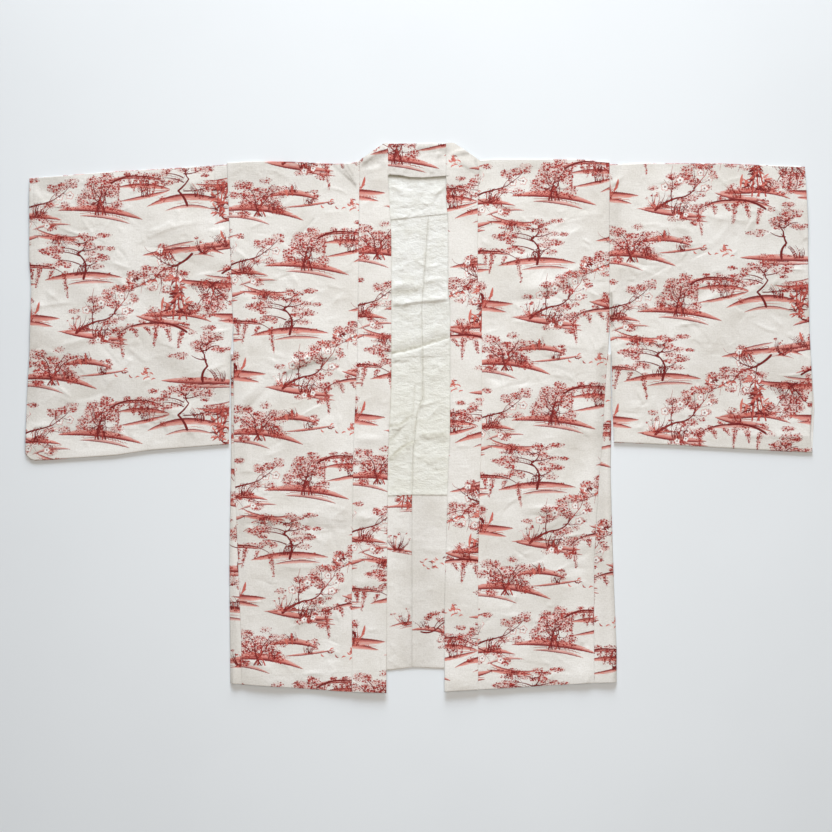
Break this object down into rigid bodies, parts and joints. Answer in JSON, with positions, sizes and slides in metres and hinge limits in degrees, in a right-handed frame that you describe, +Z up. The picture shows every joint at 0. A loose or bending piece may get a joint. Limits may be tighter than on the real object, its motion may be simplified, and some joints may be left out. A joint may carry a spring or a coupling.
{
  "type": "haori",
  "caption": "Haori laid out flat, front side up: open front with a long collar band, wide bag sleeves spread, plain back lining showing between the fronts.",
  "frame": {"origin": "middle of the garment's outline, on the surface it lies on", "axes": "+X towards the wearer's left sleeve, +Y towards the neck, +Z up from the surface"},
  "size_m": [1.3092, 0.912, 0.0075],
  "materials": {
    "printed_cloth": "matte",
    "printed_collar": "matte",
    "plain_lining": "soft sheen",
    "turned_up_hem": "matte"
  },
  "bodies": {
    "root": {"body_right": "printed_cloth", "body_left": "printed_cloth", "sleeve_right": "printed_cloth", "sleeve_left": "printed_cloth", "gusset_right": "printed_cloth", "gusset_left": "printed_cloth", "collar_right": "printed_collar", "collar_left": "printed_collar", "collar_neck": "printed_collar", "lining_yoke": "plain_lining", "lining_right": "plain_lining", "lining_left": "plain_lining", "turn_up_right": "turned_up_hem", "turn_up_left": "turned_up_hem"}
  },
  "joints": []
}
